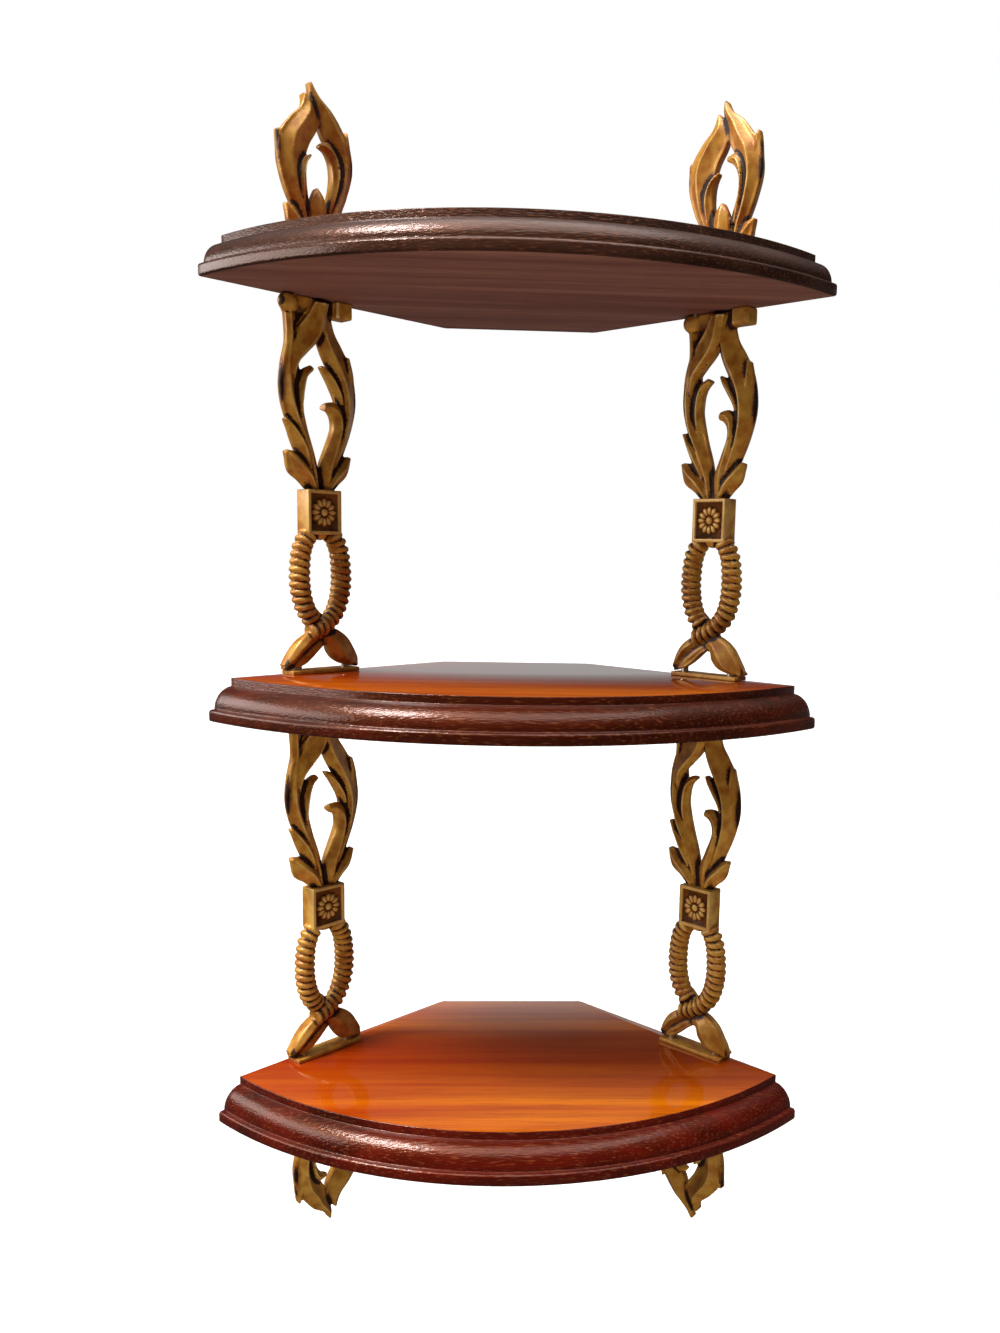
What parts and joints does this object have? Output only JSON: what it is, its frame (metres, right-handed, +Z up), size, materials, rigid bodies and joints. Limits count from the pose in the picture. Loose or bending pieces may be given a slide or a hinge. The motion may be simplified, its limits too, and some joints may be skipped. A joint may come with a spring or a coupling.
{
  "type": "corner wall shelf",
  "caption": "Quarter-round wooden shelves with moulded edges, stacked on pairs of gilt scrollwork posts against both walls of a room corner, with leaf finials above and below.",
  "frame": {"origin": "under the middle of the unit, level with the tips of the lower finials", "axes": "+Z up, +Y towards the room corner, -Y towards the room, +X to the right of someone facing the corner"},
  "size_m": [0.3048, 0.1725, 0.609],
  "materials": {
    "shelf_wood": "gloss varnish over a red-brown stain",
    "gilt_moulding": "antique gold paint rubbed over a dark ground",
    "fixing_steel": "plain steel"
  },
  "bodies": {
    "root": {"shelf_top": "shelf_wood", "shelf_middle": "shelf_wood", "shelf_bottom": "shelf_wood", "post_upper_left": "gilt_moulding", "post_upper_right": "gilt_moulding", "post_lower_left": "gilt_moulding", "post_lower_right": "gilt_moulding", "finial_top_left": "gilt_moulding", "finial_top_right": "gilt_moulding", "finial_bottom_left": "gilt_moulding", "finial_bottom_right": "gilt_moulding", "screws_top_left": "fixing_steel", "screws_top_right": "fixing_steel", "screws_bottom_left": "fixing_steel", "screws_bottom_right": "fixing_steel", "pins_middle_left": "fixing_steel", "pins_middle_right": "fixing_steel", "pins_top_left": "fixing_steel", "pins_top_right": "fixing_steel", "pins_bottom_left": "fixing_steel", "pins_bottom_right": "fixing_steel"}
  },
  "joints": []
}
